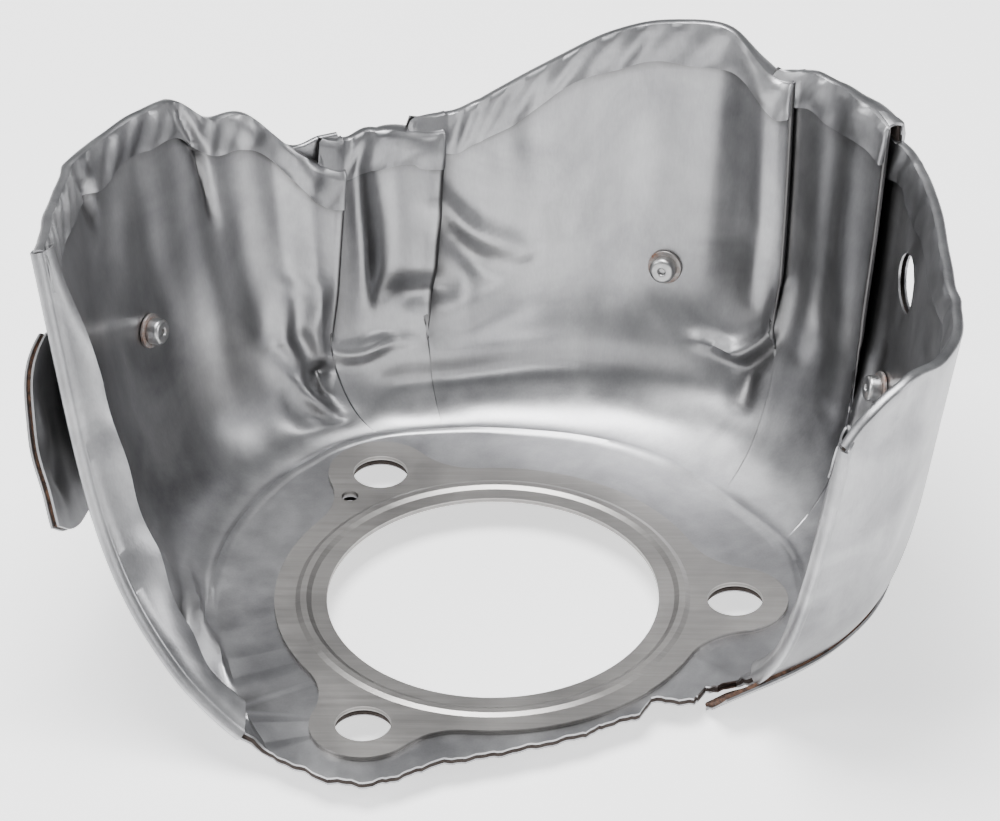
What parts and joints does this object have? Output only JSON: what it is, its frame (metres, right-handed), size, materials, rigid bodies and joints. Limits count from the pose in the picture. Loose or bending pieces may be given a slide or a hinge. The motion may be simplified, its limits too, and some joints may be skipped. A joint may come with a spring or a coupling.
{
  "type": "exhaust heat shield with flange gasket",
  "caption": "Bowl-shaped pressed sheet-metal heat shield, open at the front, with a lobed embossed flange gasket round a bore in its floor, riveted side deflector and strap.",
  "frame": {"origin": "centre of the gasket bore on the gasket's lower face", "axes": "+Z along the bore axis into the bowl, +X towards the first stud hole, +Y towards the back wall; the bowl is open towards -Y"},
  "size_m": [0.1638, 0.1301, 0.0879],
  "materials": {
    "inner_sheet": "satin aluminised sheet with pressing marks",
    "outer_sheet": "satin aluminised sheet, scuffed",
    "deflector_sheet": "satin aluminised sheet, scuffed",
    "insulation": "rough fibrous",
    "gasket_steel": "fine brushed spring steel",
    "gasket_core": "fine brushed",
    "rivet_steel": "satin with rust traces",
    "washer_steel": "satin with rusty rim",
    "collar_steel": "satin"
  },
  "bodies": {
    "root": {"inner_skin": "inner_sheet", "insulation_mat": "insulation", "outer_skin": "outer_sheet", "gasket_top_layer": "gasket_steel", "gasket_core_layer": "gasket_core", "gasket_bottom_layer": "gasket_steel", "left_rivet": "rivet_steel", "rear_rivet": "rivet_steel", "right_rivet": "rivet_steel", "left_washer": "washer_steel", "rear_washer": "washer_steel", "right_washer": "washer_steel", "left_collar": "collar_steel", "rear_collar": "collar_steel", "right_collar": "collar_steel", "side_deflector_inner_skin": "deflector_sheet", "side_deflector_mat": "insulation", "side_deflector_outer_skin": "deflector_sheet", "strap_mat": "insulation", "strap_skin": "outer_sheet"}
  },
  "joints": []
}
